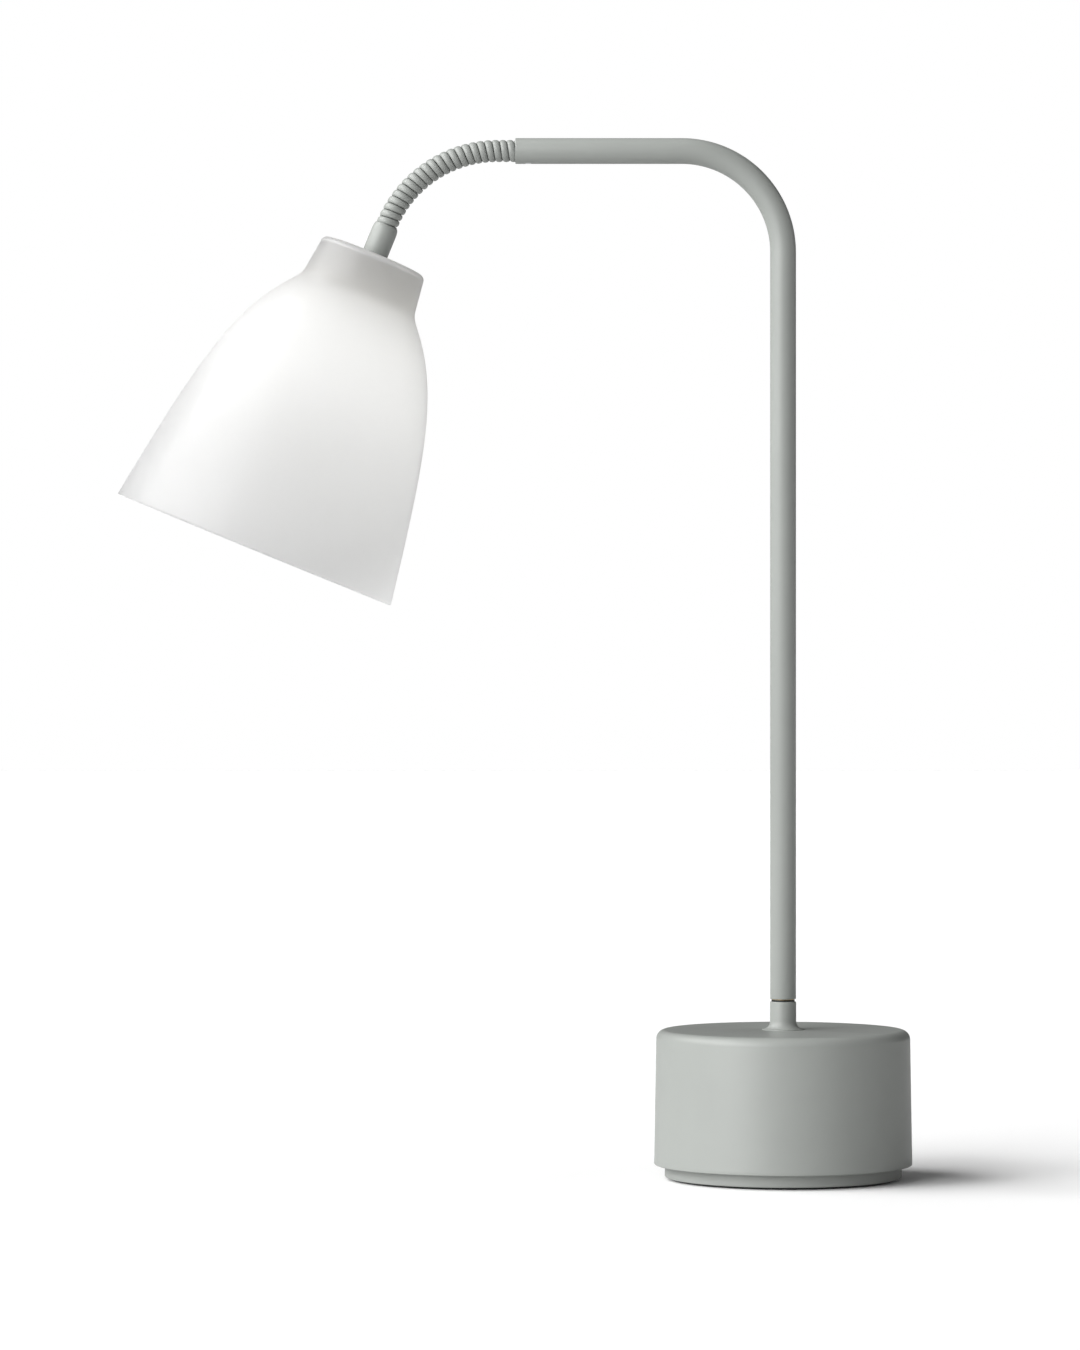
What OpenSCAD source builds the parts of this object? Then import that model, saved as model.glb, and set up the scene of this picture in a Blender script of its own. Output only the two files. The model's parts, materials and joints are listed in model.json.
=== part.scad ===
// Gooseneck desk lamp: weighted round base, swivelling bent tube arm, flexible neck and glass bell shade.
// Units are millimetres. +Z is up, the arm points along -X, and the origin is the middle of the
// base's underside.

/* [Base] */
// Diameter of the base housing at its lower rim
base_d = 140; // [116:1:180]
// Height of the base housing, from its lower rim to its flat top
housing_h = 73; // [58:1:100]
// How much narrower the housing's diameter is at the top than at the rim
housing_draft = 2.3; // [0:0.1:6]
// Radius of the housing's rounded top edge
housing_edge_r = 5; // [3.5:0.5:9]
// Wall thickness of the housing
housing_wall = 2.5; // [1.6:0.1:3.2]
// Height of the recessed foot that shows under the housing
foot_h = 8; // [5:0.5:14]
// How far the foot is set back from the housing's lower rim
foot_recess = 5.75; // [3:0.25:9]
// Thickness of the felt pad under the foot
pad_t = 1.2; // [0.8:0.1:2]
// Diameter of the lead that the inlet at the back takes
inlet_bore_d = 7; // [6:0.1:8]

/* [Swivel] */
// Height of the painted collar between base and pole
collar_h = 15.3; // [12:0.1:24]
// Radius of the flare where the collar meets the base
collar_flare_r = 4.2; // [2:0.1:8]
// Dark gap between collar and pole
swivel_gap = 1.3; // [0.8:0.1:3]
// Wall thickness of the bearing between the stem and the pole
bearing_wall = 0.9; // [0.6:0.1:2]
// How far the arm turns each way before its stop, in degrees
swivel_limit = 155; // [90:5:155]

/* [Pole and arm] */
// Outer diameter of the tube
tube_d = 14; // [12:0.5:20]
// Wall thickness of the tube
tube_wall = 1; // [0.8:0.1:1.5]
// Height of the arm's centre line above the table
arm_z = 558; // [380:1:680]
// Radius of the bend between pole and arm, at the centre line
bend_r = 55; // [30:1:90]
// Distance from the pole's centre line to the arm's end
arm_reach = 145.4; // [110:0.1:220]

/* [Gooseneck] */
// Outer diameter over the crests of the turns
neck_d = 12; // [10:0.5:15]
// Number of turns
neck_turns = 22; // [16:1:24]
// Length of neck that each turn takes
neck_pitch = 3.93; // [3.2:0.01:5]
// Gap between one turn and the next, at rest
turn_gap = 0.93; // [0.9:0.01:1.4]
// Straight stretch where the neck leaves the arm
neck_straight = 9.8; // [0:0.1:20]
// How far the neck turns down from the arm at rest, in degrees
neck_drop = 67.8; // [20:0.1:95]

/* [Ferrule] */
// Outer diameter of the ferrule
ferrule_d = 14; // [13:0.5:18]
// Diameter where the ferrule meets the neck
ferrule_top_d = 11.6; // [9:0.1:14]
// Length of the ferrule's tapered end
ferrule_taper = 5; // [2:0.5:8]
// Length of the ferrule
ferrule_l = 17; // [14:0.5:24]

/* [Shade] */
// Outer diameter of the shade at its open rim
shade_d = 160; // [140:1:200]
// Height of the shade along its axis
shade_h = 172.5; // [143:0.5:215]
// Thickness of the glass
shade_wall = 3; // [2:0.1:4]
// Outer diameter of the shade's neck, at the neck's foot
shade_neck_d = 64; // [60:0.5:76]
// Height of the shade's neck
shade_neck_h = 19; // [14:0.5:26]
// How much narrower the neck's diameter is at the top
shade_neck_draft = 4; // [0:0.5:6]
// Radius of the neck's rounded top edge
shade_edge_r = 3.4; // [3:0.1:5]

/* [Lamp holder and bulb] */
// Diameter of the lamp holder's cap
holder_d = 28; // [27:0.5:34]
// Diameter of the bulb's globe
bulb_d = 45; // [40:1:48]

/* [Hidden] */
$fn = 96;

NECK_NAMES = [for (i = [1 : neck_turns]) str("neck_turn_", i < 10 ? "0" : "", i)];
BASE_NAMES = ["foot_pad", "base_plate", "base_housing", "ballast_weight", "plate_screws",
              "ballast_screws", "cord_gland", "terminal_block", "terminal_screws", "base_lead"];
SWIVEL_NAMES = ["stem_nut", "stem_washer", "swivel_stem", "pole_collar", "thrust_washer",
                "wave_washer", "retaining_nut", "stop_pin"];
ARM_NAMES = ["arm_tube", "tube_bearing", "arm_lead", "neck_root", "neck_set_screw"];
HEAD_NAMES = ["neck_ferrule", "upper_gasket", "shade", "lower_gasket", "shade_nut",
              "head_nipple", "head_lead", "holder_cap", "holder_body", "holder_contact",
              "holder_shell", "bulb_cap", "bulb_globe"];

// Colours
PAINT = [0.64, 0.66, 0.64];
FELT = [0.16, 0.17, 0.17];
CAST = [0.30, 0.31, 0.32];
STEEL = [0.72, 0.73, 0.74];
BRASS = [0.80, 0.66, 0.36];
BLACK = [0.10, 0.10, 0.10];
CREAM = [0.90, 0.88, 0.82];
SILICONE = [0.80, 0.81, 0.80];
OPAL = [0.95, 0.95, 0.93];

// Clearances
run_gap = 0.06; // radial play of the arm's bearing on its stem
press_gap = 0.04; // radial play of a piece that is pressed or glued in
face_gap = 0.05; // play between faces that slide on each other
thread_gap = 0.05; // radial play of a thread that is drawn smooth
drop_gap = 0.2; // radial play of a piece that drops into a hole
body_gap = 0.3; // space between pieces that turn past each other
eps = 0.5; // how far a cut runs past the face it opens

// Base
foot_r = base_d / 2 - foot_recess;
foot_chamfer = 0.8;
pad_inset = 3.5;
base_top = foot_h + housing_h;
housing_top_r = (base_d - housing_draft) / 2;
housing_inner_edge_r = max(housing_edge_r - housing_wall, 0.3);
spigot_h = 2.5;
spigot_gap = 0.3;
spigot_r = base_d / 2 - housing_wall - spigot_gap;
plate_top = foot_h + spigot_h;
post_r = 4.5;
post_inset = 7.75;
post_circle_r = foot_r - post_inset;
post_count = 4;
post_hole_depth = 15;
service_h = 20.5;
inside_top = base_top - housing_wall;
ballast_gap = 1;
ballast_r = post_circle_r - post_r - ballast_gap;
ballast_top = inside_top - service_h;
ballast_screw_count = 3;
ballast_screw_circle_r = ballast_r * 0.6;
ballast_hole_spare = 2;
plate_screw_r = 2;
plate_screw_head_r = 3.8;
plate_screw_head_h = 2;
ballast_screw_r = 2.5;
ballast_screw_head_r = 4.8;
ballast_screw_head_h = 2.5;
ballast_screw_l = 24;
screw_gap = 0.1;
screw_socket_share = 0.62;

// Cord inlet
gland_rise = 11;
gland_z = foot_h + gland_rise;
gland_wall = 1.9;
gland_bore_r = inlet_bore_d / 2;
gland_body_r = gland_bore_r + gland_wall;
gland_flange_w = 2.1;
gland_flange_r = gland_body_r + gland_flange_w;
gland_flange_t = 2.2;
gland_pocket_gap = 0.5;
gland_barb_t = 2;
gland_barb_w = 0.8;
gland_sink = 0.6;
gland_depth = 7.2;
gland_draft_share = (gland_z - foot_h) / (housing_h - housing_edge_r);
gland_face_y = base_d / 2 - housing_draft / 2 * gland_draft_share - gland_sink;
gland_inner_y = gland_face_y - gland_depth;

// Stem and its fastenings. The stem fills the pole's bore, less the bearing around it.
tube_r = tube_d / 2;
tube_bore_r = tube_r - tube_wall;
bearing_r = tube_bore_r - press_gap;
stem_r = bearing_r - bearing_wall - run_gap;
stem_wall = 1.8;
stem_bore_r = stem_r - stem_wall;
stem_washer_r = 12;
stem_washer_t = 1.5;
stem_end = 1.5; // how far the stem stands out of its nut
nut_w = 4.2; // from a nut's thread to its corners
stem_nut_h = 5.5;
stem_nut_r = stem_r + nut_w;
stem_nut_z = inside_top - stem_washer_t - stem_nut_h;
stem_bottom = stem_nut_z - stem_end;

// Swivel
collar_top = base_top + collar_h;
collar_margin = 0.1;
collar_r = tube_r + collar_margin;
collar_lip = 0.4;
collar_edge_r = 0.6;
thrust_washer_t = 0.95;
thrust_washer_r = tube_r - 0.7;
bearing_z = collar_top + thrust_washer_t + face_gap;
bearing_h = 23.7;
bearing_top = bearing_z + bearing_h;
wave_washer_t = 0.95;
retaining_nut_h = 4;
retaining_nut_z = bearing_top + face_gap + wave_washer_t;
retaining_nut_r = tube_bore_r - body_gap;
stem_top = retaining_nut_z + retaining_nut_h + 1;
stop_rise = 7.7;
stop_z = bearing_z + stop_rise;
stop_pin_r = 1;
stop_pin_root = stem_bore_r + 0.1;
stop_pin_tip = tube_bore_r - body_gap;
stop_slot_h = 2 * (stop_pin_r + body_gap);
stop_pin_angle = asin(stop_pin_r / stem_r);
stop_spare_angle = 0.6;
stop_land_angle = 2 * (180 - swivel_limit - stop_pin_angle - stop_spare_angle);
pole_z = collar_top + swivel_gap;
pole_chamfer = 0.4;

// Inner leads. They fit the narrowest bore on their way.
neck_r = neck_d / 2;
neck_wall = 2.5;
neck_bore_r = neck_r - neck_wall;
neck_lead_gap = 1.3;
stem_lead_gap = 1;
lead_r = min(neck_bore_r - neck_lead_gap, stem_bore_r - stem_lead_gap);
lead_joint_z = bearing_top - 3;
lead_elbow_r = 6.5;
lead_drop = 0.5;
lead_z = stem_bottom - lead_elbow_r - lead_drop;

// Terminal block
block_size = [24, 13, 11];
block_y = 26;
block_pitch = [12, 6];
block_well_r = 1.6;
block_screw_r = 1.5;
block_screw_h = 4.5;
block_screw_sink = 0.8;
block_slot_w = 0.5;
block_wire_r = 1.9;
block_wire_z = ballast_top + 3.4;

// Gooseneck
turn_w = neck_pitch - turn_gap;
neck_l = neck_turns * neck_pitch;
neck_bend_r = (neck_l - neck_straight) / (neck_drop * PI / 180);
spigot_l = neck_pitch - 0.5;
neck_spigot_r = neck_bore_r - 0.1;
neck_lead_bore_r = lead_r + body_gap;
root_l = 14;
set_screw_x = -arm_reach + root_l / 2;
set_screw_r = 2;
set_screw_depth = 4;
set_screw_sink = 0.2;
set_screw_socket_r = 1.1;
set_screw_socket_h = 1.5;

// Head, along its own axis from the neck's end
nipple_r = 5;
nipple_bore_r = 3.2;
nipple_top = -6;
gasket_t = 1;
upper_gasket_r = ferrule_d / 2 - 0.8;
lower_gasket_r = 12;
shade_top = -ferrule_l - gasket_t;
shade_rim = shade_top - shade_h;
shade_hole_r = nipple_r + 0.3;
shade_nut_h = 4;
shade_nut_z = shade_top - shade_wall - gasket_t - shade_nut_h;
cap_z = shade_nut_z - 0.5;
cap_neck_h = 4.5;
cap_h = 16;
cap_wall = 1.5;
cap_neck_r = nipple_r + 2.5;
cap_bottom = cap_z - cap_h;
nipple_bottom = cap_z - cap_neck_h - 1;
holder_r = holder_d / 2;
holder_body_h = 23;
holder_body_r = holder_r - 0.5;
holder_screw_h = 7;
holder_screw_r = holder_r - cap_wall - 0.1;
holder_bottom = cap_bottom - holder_body_h;
holder_bore_r = 8;
holder_floor = cap_bottom - 1;
holder_well_r = holder_bore_r + 1;
holder_well_z = cap_bottom + 3;
contact_size = [12, 4, 0.5];
contact_rivet_r = 1.5;
contact_pad_r = 2;
contact_pad_h = 2;
shell_t = 0.4;
shell_inset = 1.5;
bulb_cap_r = 7;
bulb_cap_taper = 2;
bulb_cap_end_r = 3.4;
bulb_tip_r = 2.4;
bulb_tip_h = 0.5;
bulb_cap_z = holder_floor - contact_pad_h - bulb_tip_h - 0.1;
bulb_neck_z = holder_bottom - 0.3;
bulb_neck_r = 9;
bulb_neck_l = 12.3;
bulb_r = bulb_d / 2;
bulb_z = bulb_neck_z - bulb_r - bulb_neck_l;
bulb_collar_z = bulb_z + bulb_r * 0.55;
bulb_collar_r = bulb_r * 0.83;

// Outline of the shade: one curve for the bell, a short one into the neck, then the neck.
// Heights are above the rim.
shade_r = shade_d / 2;
shade_fillet_h = 11;
shade_neck_r = shade_neck_d / 2;
shade_neck_top_r = shade_neck_r - shade_neck_draft / 2;
neck_foot_h = shade_h - shade_neck_h;
bell_h = neck_foot_h - shade_fillet_h;
shade_inner_edge_r = max(shade_edge_r - shade_wall, 0.2);
shoulder_w = 6.3;
shoulder_r = shade_neck_r + shoulder_w;
skirt_slope = 0.155;
shoulder_slope = 0.806;
skirt_pull = 0.583 * bell_h;
shoulder_pull = 0.191 * bell_h;
fillet_pull = 4.5;
fillet_lean = 0.4;
bell_steps = 18;
fillet_steps = 6;
edge_steps = 6;

BELL = [[shade_r, 0],
        [shade_r - skirt_slope * skirt_pull, skirt_pull],
        [shoulder_r + shoulder_slope * shoulder_pull, bell_h - shoulder_pull],
        [shoulder_r, bell_h]];
NECK_FILLET = [[shoulder_r, bell_h],
               [shoulder_r - shoulder_slope * fillet_pull, bell_h + fillet_pull],
               [shade_neck_r + fillet_lean, neck_foot_h - fillet_pull],
               [shade_neck_r, neck_foot_h]];

function curve_point(c, t) = pow(1 - t, 3) * c[0] + 3 * pow(1 - t, 2) * t * c[1]
                             + 3 * (1 - t) * t * t * c[2] + pow(t, 3) * c[3];
function curve_slope(c, t) = pow(1 - t, 2) * (c[1] - c[0]) + 2 * (1 - t) * t * (c[2] - c[1])
                             + t * t * (c[3] - c[2]);
function inward(v) = [-v[1], v[0]] / norm(v);
function curve_line(c, steps, inset) =
    [for (i = [0 : steps]) curve_point(c, i / steps) + inset * inward(curve_slope(c, i / steps))];
function edge_line(r, h, e) =
    [for (i = [0 : edge_steps]) let (a = 90 * i / edge_steps) [r - e + e * cos(a), h - e + e * sin(a)]];

// Outline of the shade, drawn inwards by inset, closed on the axis and run down past the rim by
// below. edge_r is its radius at the neck's top edge.
function shade_outline(inset, below, edge_r) =
    concat([[0, -below], [shade_r - inset, -below]],
           curve_line(BELL, bell_steps, inset),
           curve_line(NECK_FILLET, fillet_steps, inset),
           edge_line(shade_neck_top_r - inset, shade_h - inset, edge_r),
           [[0, shade_h - inset]]);

// The neck's centre line, at length s from the arm's end
function neck_angle(s) = s <= neck_straight ? 0 : (s - neck_straight) / neck_bend_r * 180 / PI;
function neck_x(s) = -arm_reach - min(s, neck_straight) - neck_bend_r * sin(neck_angle(s));
function neck_z(s) = arm_z - neck_bend_r * (1 - cos(neck_angle(s)));

// Stands its children on the neck's centre line, with their +Z pointing back to the arm
module along_neck(s) {
    translate([neck_x(s), 0, neck_z(s)])
        rotate([0, 90 - neck_angle(s), 0])
            children();
}

// Sets its children at the neck's end, with their +Z pointing back up the neck
module on_head() {
    along_neck(neck_l)
        children();
}

// A tube or disc between two heights
module ring(r_out, r_in, z0, z1) {
    translate([0, 0, z0])
        difference() {
            cylinder(r = r_out, h = z1 - z0);
            translate([0, 0, -eps])
                cylinder(r = r_in, h = z1 - z0 + 2 * eps);
        }
}

// A solid rod between two heights
module rod(r, z0, z1) {
    translate([0, 0, z0])
        cylinder(r = r, h = z1 - z0);
}

// A hexagon nut between two heights
module hex_nut(r_out, r_in, z0, z1) {
    difference() {
        translate([0, 0, z0])
            cylinder(r = r_out, h = z1 - z0, $fn = 6);
        rod(r_in, z0 - eps, z1 + eps);
    }
}

// Copies its children evenly around the Z axis
module around(count, r, start = 0) {
    for (i = [0 : count - 1])
        rotate([0, 0, start + i * 360 / count])
            translate([r, 0, 0])
                children();
}

// A countersunk screw that points up from z0, with a hexagon socket
module countersunk_screw(r, head_r, head_h, z0, l) {
    difference() {
        union() {
            translate([0, 0, z0])
                cylinder(r1 = head_r, r2 = r, h = head_h);
            rod(r, z0 + head_h / 2, z0 + l);
        }
        translate([0, 0, z0 - eps])
            cylinder(r = r * screw_socket_share, h = head_h * 0.8 + eps, $fn = 6);
    }
}

// The hole that a countersunk screw passes through
module countersunk_hole(r, head_r, head_h, z0, z1) {
    translate([0, 0, z0 - eps])
        cylinder(r = head_r + screw_gap, h = eps);
    translate([0, 0, z0])
        cylinder(r1 = head_r + screw_gap, r2 = r + screw_gap, h = head_h);
    rod(r + screw_gap, z0 + head_h / 2, z1);
}

// Filled half outline of the housing: a drafted side and a rounded top edge
module housing_outline(r_low, r_high, h, edge) {
    polygon([[0, 0], [r_low, 0], [r_high, h - edge], [r_high - edge, h - edge],
             [r_high - edge, h], [0, h]]);
    translate([r_high - edge, h - edge])
        circle(r = edge);
}

// Sweeps a 2D section up the pole, round the bend and along the arm
module along_arm(z0, reach) {
    translate([0, 0, z0])
        linear_extrude(arm_z - bend_r - z0)
            children();
    translate([-bend_r, 0, arm_z - bend_r])
        rotate([90, 0, 0])
            rotate_extrude(angle = 90)
                translate([bend_r, 0])
                    children();
    translate([-bend_r, 0, arm_z])
        rotate([0, -90, 0])
            linear_extrude(reach - bend_r)
                children();
}

// ---- Base ----

module foot_pad() {
    color(FELT)
        rod(foot_r - pad_inset, 0, pad_t);
}

module base_plate() {
    color(PAINT)
        difference() {
            union() {
                translate([0, 0, pad_t])
                    cylinder(r1 = foot_r - foot_chamfer, r2 = foot_r, h = foot_chamfer);
                rod(foot_r, pad_t + foot_chamfer, foot_h);
                rod(spigot_r, foot_h, plate_top);
            }
            around(post_count, post_circle_r, 45)
                countersunk_hole(plate_screw_r, plate_screw_head_r, plate_screw_head_h,
                                 pad_t, plate_top + eps);
            around(ballast_screw_count, ballast_screw_circle_r, 90)
                countersunk_hole(ballast_screw_r, ballast_screw_head_r, ballast_screw_head_h,
                                 pad_t, plate_top + eps);
        }
}

module base_housing() {
    color(PAINT)
        difference() {
            union() {
                translate([0, 0, foot_h])
                    rotate_extrude()
                        difference() {
                            housing_outline(base_d / 2, housing_top_r, housing_h, housing_edge_r);
                            translate([0, -eps])
                                housing_outline(base_d / 2 - housing_wall,
                                                housing_top_r - housing_wall,
                                                housing_h - housing_wall + eps,
                                                housing_inner_edge_r);
                        }
                around(post_count, post_circle_r, 45)
                    rod(post_r, plate_top, inside_top + housing_wall / 2);
            }
            around(post_count, post_circle_r, 45)
                rod(plate_screw_r, plate_top - eps, plate_top + post_hole_depth);
            rod(stem_r + drop_gap, inside_top - eps, base_top + eps);
            translate([0, 0, gland_z])
                rotate([-90, 0, 0]) {
                    rod(gland_body_r + drop_gap, gland_inner_y, base_d);
                    rod(gland_flange_r + gland_pocket_gap, gland_face_y, base_d);
                }
        }
}

module ballast_weight() {
    color(CAST)
        difference() {
            rod(ballast_r, plate_top, ballast_top);
            around(ballast_screw_count, ballast_screw_circle_r, 90)
                rod(ballast_screw_r, plate_top - eps, pad_t + ballast_screw_l + ballast_hole_spare);
        }
}

module plate_screws() {
    color(STEEL)
        around(post_count, post_circle_r, 45)
            countersunk_screw(plate_screw_r, plate_screw_head_r, plate_screw_head_h,
                              pad_t, plate_top - pad_t + post_hole_depth - 1);
}

module ballast_screws() {
    color(STEEL)
        around(ballast_screw_count, ballast_screw_circle_r, 90)
            countersunk_screw(ballast_screw_r, ballast_screw_head_r, ballast_screw_head_h,
                              pad_t, ballast_screw_l);
}

module cord_gland() {
    barb_y = gland_face_y - housing_wall - drop_gap;
    color(BLACK)
        translate([0, 0, gland_z])
            rotate([-90, 0, 0])
                difference() {
                    union() {
                        rod(gland_body_r, gland_inner_y, gland_face_y);
                        rod(gland_body_r + gland_barb_w, barb_y - gland_barb_t, barb_y);
                        rod(gland_flange_r, gland_face_y, gland_face_y + gland_flange_t);
                    }
                    rod(gland_bore_r, gland_inner_y - eps, gland_face_y + gland_flange_t + eps);
                }
}

module at_terminals() {
    for (x = [-1, 1], y = [-1, 1])
        translate([x * block_pitch[0] / 2, block_y + y * block_pitch[1] / 2, 0])
            children();
}

module terminal_block() {
    top = ballast_top + block_size[2];
    color(CREAM)
        difference() {
            translate([-block_size[0] / 2, block_y - block_size[1] / 2, ballast_top])
                cube(block_size);
            at_terminals()
                rod(block_well_r, top - block_screw_h - 1, top + eps);
            for (x = [-1, 1])
                translate([x * block_pitch[0] / 2, block_y, block_wire_z])
                    rotate([90, 0, 0])
                        cylinder(r = block_wire_r, h = block_size[1] + 2 * eps, center = true);
        }
}

module terminal_screws() {
    top = ballast_top + block_size[2] - block_screw_sink;
    color(STEEL)
        at_terminals()
            difference() {
                rod(block_screw_r, top - block_screw_h, top);
                translate([-2 * block_screw_r, -block_slot_w / 2, top - block_screw_sink])
                    cube([4 * block_screw_r, block_slot_w, 2 * block_screw_sink]);
            }
}

module base_lead() {
    color(BLACK) {
        rod(lead_r, lead_z + lead_elbow_r, lead_joint_z);
        translate([0, lead_elbow_r, lead_z + lead_elbow_r])
            rotate([0, 0, -90])
                rotate([90, 0, 0])
                    rotate_extrude(angle = -90)
                        translate([lead_elbow_r, 0])
                            circle(r = lead_r);
        translate([0, lead_elbow_r, lead_z])
            rotate([-90, 0, 0])
                cylinder(r = lead_r, h = block_y - block_size[1] / 2 - lead_elbow_r);
    }
}

// ---- Stem and swivel ----

module stem_nut() {
    color(STEEL)
        hex_nut(stem_nut_r, stem_r + thread_gap, stem_nut_z, stem_nut_z + stem_nut_h);
}

module stem_washer() {
    color(STEEL)
        ring(stem_washer_r, stem_r + drop_gap, inside_top - stem_washer_t, inside_top);
}

module swivel_stem() {
    color(STEEL)
        difference() {
            ring(stem_r, stem_bore_r, stem_bottom, stem_top);
            translate([0, 0, stop_z])
                rotate([0, 90, 0])
                    cylinder(r = stop_pin_r, h = 2 * stem_r);
        }
}

module pole_collar() {
    foot_z = collar_lip + collar_flare_r;
    color(PAINT)
        translate([0, 0, base_top])
            rotate_extrude()
                difference() {
                    union() {
                        translate([stem_r + thread_gap, 0])
                            square([collar_r - stem_r - thread_gap, collar_h]);
                        translate([collar_r - eps, 0])
                            square([collar_flare_r + eps, foot_z]);
                    }
                    translate([collar_r + collar_flare_r, foot_z])
                        circle(r = collar_flare_r);
                    translate([collar_r - collar_edge_r, collar_h - collar_edge_r])
                        difference() {
                            square(collar_edge_r + eps);
                            circle(r = collar_edge_r);
                        }
                }
}

module thrust_washer() {
    color(BLACK)
        ring(thrust_washer_r, stem_r + thread_gap, collar_top, collar_top + thrust_washer_t);
}

module wave_washer() {
    color(STEEL)
        ring(retaining_nut_r, stem_r + thread_gap, retaining_nut_z - wave_washer_t, retaining_nut_z);
}

module retaining_nut() {
    color(BRASS)
        ring(retaining_nut_r, stem_r + thread_gap, retaining_nut_z, retaining_nut_z + retaining_nut_h);
}

module stop_pin() {
    color(STEEL)
        translate([stop_pin_root, 0, stop_z])
            rotate([0, 90, 0])
                cylinder(r = stop_pin_r, h = stop_pin_tip - stop_pin_root);
}

// ---- Arm ----

module arm_tube() {
    color(PAINT)
        difference() {
            along_arm(pole_z, arm_reach)
                difference() {
                    circle(r = tube_r);
                    circle(r = tube_bore_r);
                }
            translate([0, 0, pole_z])
                difference() {
                    rod(tube_r + eps, -eps, pole_chamfer);
                    cylinder(r1 = tube_r - pole_chamfer, r2 = tube_r, h = pole_chamfer);
                    rod(tube_bore_r, -2 * eps, eps);
                }
            translate([set_screw_x, 0, 0])
                rod(set_screw_r + screw_gap, arm_z - tube_r - eps, arm_z);
        }
}

module tube_bearing() {
    color(BRASS)
        difference() {
            ring(bearing_r, stem_r + run_gap, bearing_z, bearing_top);
            rotate([0, 0, 180 + stop_land_angle / 2])
                rotate_extrude(angle = 360 - stop_land_angle)
                    translate([stem_r - 1, stop_z - stop_slot_h / 2])
                        square([tube_r - stem_r + 1, stop_slot_h]);
        }
}

module arm_lead() {
    color(BLACK)
        along_arm(lead_joint_z + body_gap, arm_reach + spigot_l)
            circle(r = lead_r);
}

module neck_root() {
    color(STEEL)
        difference() {
            along_neck(0)
                difference() {
                    union() {
                        rod(bearing_r, 0, root_l);
                        rod(neck_spigot_r, -spigot_l, eps);
                    }
                    rod(neck_lead_bore_r, -spigot_l - eps, root_l + eps);
                }
            translate([set_screw_x, 0, 0])
                rod(set_screw_r, arm_z - tube_r, arm_z);
        }
}

module neck_set_screw() {
    z0 = arm_z - tube_r + set_screw_sink;
    color(STEEL)
        translate([set_screw_x, 0, 0])
            difference() {
                rod(set_screw_r, z0, z0 + set_screw_depth);
                translate([0, 0, z0 - eps])
                    cylinder(r = set_screw_socket_r, h = set_screw_socket_h + eps, $fn = 6);
            }
}

// ---- Gooseneck ----

// One turn of the neck, numbered from the arm. Each turn leans on the next, so the neck
// bends between them.
module neck_turn(i) {
    color(PAINT)
        along_neck((i - 0.5) * neck_pitch)
            rotate_extrude()
                difference() {
                    union() {
                        translate([neck_bore_r, -turn_w / 2])
                            square([neck_r - turn_w / 2 - neck_bore_r, turn_w]);
                        translate([neck_r - turn_w / 2, 0])
                            circle(r = turn_w / 2);
                    }
                    translate([0, -turn_w])
                        square([neck_bore_r, 2 * turn_w]);
                }
}

// ---- Head ----

module neck_ferrule() {
    color(PAINT)
        on_head()
            difference() {
                union() {
                    rod(neck_spigot_r, -eps, spigot_l);
                    translate([0, 0, -ferrule_taper])
                        cylinder(r1 = ferrule_d / 2, r2 = ferrule_top_d / 2, h = ferrule_taper);
                    rod(ferrule_d / 2, -ferrule_l, -ferrule_taper);
                }
                rod(neck_lead_bore_r, nipple_top - eps, spigot_l + eps);
                rod(nipple_r + thread_gap, -ferrule_l - eps, nipple_top);
            }
}

module upper_gasket() {
    color(SILICONE)
        on_head()
            ring(upper_gasket_r, nipple_r + thread_gap, shade_top, -ferrule_l);
}

module shade() {
    color(OPAL)
        on_head()
            translate([0, 0, shade_rim])
                difference() {
                    rotate_extrude()
                        difference() {
                            polygon(shade_outline(0, 0, shade_edge_r));
                            polygon(shade_outline(shade_wall, eps, shade_inner_edge_r));
                        }
                    rod(shade_hole_r, shade_h - shade_wall - eps, shade_h + eps);
                }
}

module lower_gasket() {
    color(SILICONE)
        on_head()
            ring(lower_gasket_r, nipple_r + thread_gap, shade_nut_z + shade_nut_h, shade_top - shade_wall);
}

module shade_nut() {
    color(BRASS)
        on_head()
            hex_nut(nipple_r + nut_w, nipple_r + thread_gap, shade_nut_z, shade_nut_z + shade_nut_h);
}

module head_nipple() {
    color(STEEL)
        on_head()
            ring(nipple_r, nipple_bore_r, nipple_bottom, nipple_top);
}

module head_lead() {
    color(BLACK)
        on_head()
            rod(lead_r, cap_bottom + holder_screw_h / 2, spigot_l);
}

module holder_cap() {
    color(CREAM)
        on_head()
            difference() {
                union() {
                    rod(cap_neck_r, cap_z - cap_neck_h, cap_z);
                    rod(holder_r, cap_bottom, cap_z - cap_neck_h);
                }
                rod(nipple_r + thread_gap, cap_z - cap_neck_h - cap_wall - eps, cap_z + eps);
                rod(holder_r - cap_wall, cap_bottom - eps, cap_z - cap_neck_h - cap_wall);
            }
}

module holder_body() {
    color(CREAM)
        on_head()
            difference() {
                union() {
                    rod(holder_screw_r, cap_bottom - eps, cap_bottom + holder_screw_h);
                    rod(holder_body_r, holder_bottom, cap_bottom);
                }
                rod(holder_bore_r, holder_bottom - eps, holder_floor);
                rod(holder_well_r, holder_well_z, cap_bottom + holder_screw_h + eps);
                rod(contact_rivet_r, holder_floor - eps, cap_bottom + holder_screw_h);
            }
}

module holder_contact() {
    color(BRASS)
        on_head() {
            rod(contact_rivet_r, holder_floor - eps, holder_well_z);
            translate([-contact_size[0] / 2, -contact_size[1] / 2, holder_floor - contact_size[2]])
                cube(contact_size);
            rod(contact_pad_r, holder_floor - contact_pad_h, holder_floor);
        }
}

module holder_shell() {
    color(BRASS)
        on_head()
            ring(holder_bore_r, holder_bore_r - shell_t,
                 holder_bottom + shell_inset, holder_floor - shell_inset);
}

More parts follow.
